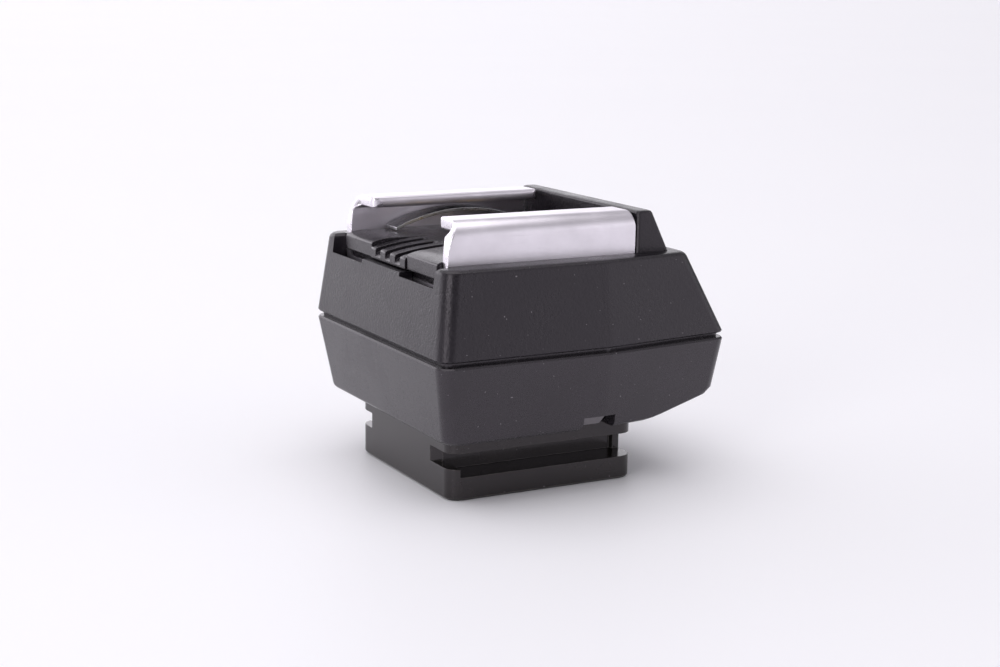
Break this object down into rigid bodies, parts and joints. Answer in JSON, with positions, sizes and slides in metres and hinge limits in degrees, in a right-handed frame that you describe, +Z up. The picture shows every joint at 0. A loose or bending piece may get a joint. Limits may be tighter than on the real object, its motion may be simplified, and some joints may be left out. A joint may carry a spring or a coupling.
{
  "type": "flash shoe adapter",
  "caption": "Small black adapter with a metal-railed accessory shoe on top, a two-part tapered housing and a grooved slide-in foot with a sprung lock pin.",
  "frame": {"origin": "middle of the bounding box, on the foot's underside", "axes": "+Z up through the shoe, +X towards the shoe's closed end, +Y across the rails"},
  "size_m": [0.0288, 0.0268, 0.0239],
  "materials": {
    "black_grain": "fine moulded grain, matte",
    "black_smooth": "smooth moulded black, semi-gloss",
    "satin_metal": "satin plated sheet",
    "steel": "plain steel",
    "dark_steel": "blackened steel",
    "contact_gold": "plated contact",
    "board_green": "coated laminate",
    "wire_red": "insulated wire",
    "wire_yellow": "insulated wire",
    "wire_blue": "insulated wire",
    "wire_black": "insulated wire"
  },
  "bodies": {
    "housing": {"upper_housing": "black_grain", "lower_housing": "black_smooth", "shoe_frame": "satin_metal", "shoe_base": "black_smooth", "hold_down_spring_left": "steel", "hold_down_spring_right": "steel", "frame_screw_left": "steel", "frame_screw_right": "steel", "circuit_board": "board_green", "sync_wire": "wire_red", "ready_wire": "wire_yellow", "control_wire": "wire_blue", "ground_wire": "wire_black", "foot_block": "black_smooth", "retainer_plate": "steel", "foot_screw_1": "steel", "foot_screw_2": "steel", "foot_screw_3": "steel", "foot_screw_4": "steel", "contact_carrier": "black_smooth", "housing_screw_1": "dark_steel", "housing_screw_2": "dark_steel", "centre_contact_spring": "steel", "ready_contact_spring": "steel", "control_contact_spring": "steel", "foot_contact_spring_1": "steel", "foot_contact_spring_2": "steel", "foot_contact_spring_3": "steel", "foot_contact_spring_4": "steel", "lock_spring": "steel", "release_spring": "steel"},
    "centre_contact_body": {"centre_contact": "contact_gold"},
    "ready_contact_body": {"ready_contact": "contact_gold"},
    "control_contact_body": {"control_contact": "contact_gold"},
    "foot_contact_1_body": {"foot_contact_1": "contact_gold"},
    "foot_contact_2_body": {"foot_contact_2": "contact_gold"},
    "foot_contact_3_body": {"foot_contact_3": "contact_gold"},
    "foot_contact_4_body": {"foot_contact_4": "contact_gold"},
    "release_slide_body": {"release_slide": "dark_steel"},
    "lock_pin_body": {"lock_pin": "steel"}
  },
  "joints": [
    {"name": "centre_contact_press", "type": "slide", "parent": "housing", "child": "centre_contact_body", "axis": [0, 0, -1], "range_m": [0, 0.0003], "stiffness_N_per_m": 500, "springref_m": -0.0004, "deforming": ["centre_contact_spring"]},
    {"name": "ready_contact_press", "type": "slide", "parent": "housing", "child": "ready_contact_body", "axis": [0, 0, -1], "range_m": [0, 0.0003], "stiffness_N_per_m": 300, "springref_m": -0.0004, "deforming": ["ready_contact_spring"]},
    {"name": "control_contact_press", "type": "slide", "parent": "housing", "child": "control_contact_body", "axis": [0, 0, -1], "range_m": [0, 0.0003], "stiffness_N_per_m": 300, "springref_m": -0.0004, "deforming": ["control_contact_spring"]},
    {"name": "foot_contact_1_press", "type": "slide", "parent": "housing", "child": "foot_contact_1_body", "axis": [0, 0, 1], "range_m": [0, 0.00035], "stiffness_N_per_m": 200, "springref_m": -0.0005, "deforming": ["foot_contact_spring_1"]},
    {"name": "foot_contact_2_press", "type": "slide", "parent": "housing", "child": "foot_contact_2_body", "axis": [0, 0, 1], "range_m": [0, 0.00035], "stiffness_N_per_m": 200, "springref_m": -0.0005, "deforming": ["foot_contact_spring_2"]},
    {"name": "foot_contact_3_press", "type": "slide", "parent": "housing", "child": "foot_contact_3_body", "axis": [0, 0, 1], "range_m": [0, 0.00035], "stiffness_N_per_m": 200, "springref_m": -0.0005, "deforming": ["foot_contact_spring_3"]},
    {"name": "foot_contact_4_press", "type": "slide", "parent": "housing", "child": "foot_contact_4_body", "axis": [0, 0, 1], "range_m": [0, 0.00035], "stiffness_N_per_m": 200, "springref_m": -0.0005, "deforming": ["foot_contact_spring_4"]},
    {"name": "release_slide_push", "type": "slide", "parent": "housing", "child": "release_slide_body", "axis": [1, 0, 0], "range_m": [0, 0.0008], "stiffness_N_per_m": 600, "springref_m": -0.0008, "deforming": ["release_spring"]},
    {"name": "lock_pin_lift", "type": "slide", "parent": "housing", "child": "lock_pin_body", "axis": [0, 0, 1], "range_m": [0, 0.0008], "stiffness_N_per_m": 300, "springref_m": -0.0008, "deforming": ["lock_spring"]}
  ],
  "couplings": [
    {"joint": "lock_pin_lift", "follows": "release_slide_push", "ratio": 1}
  ]
}
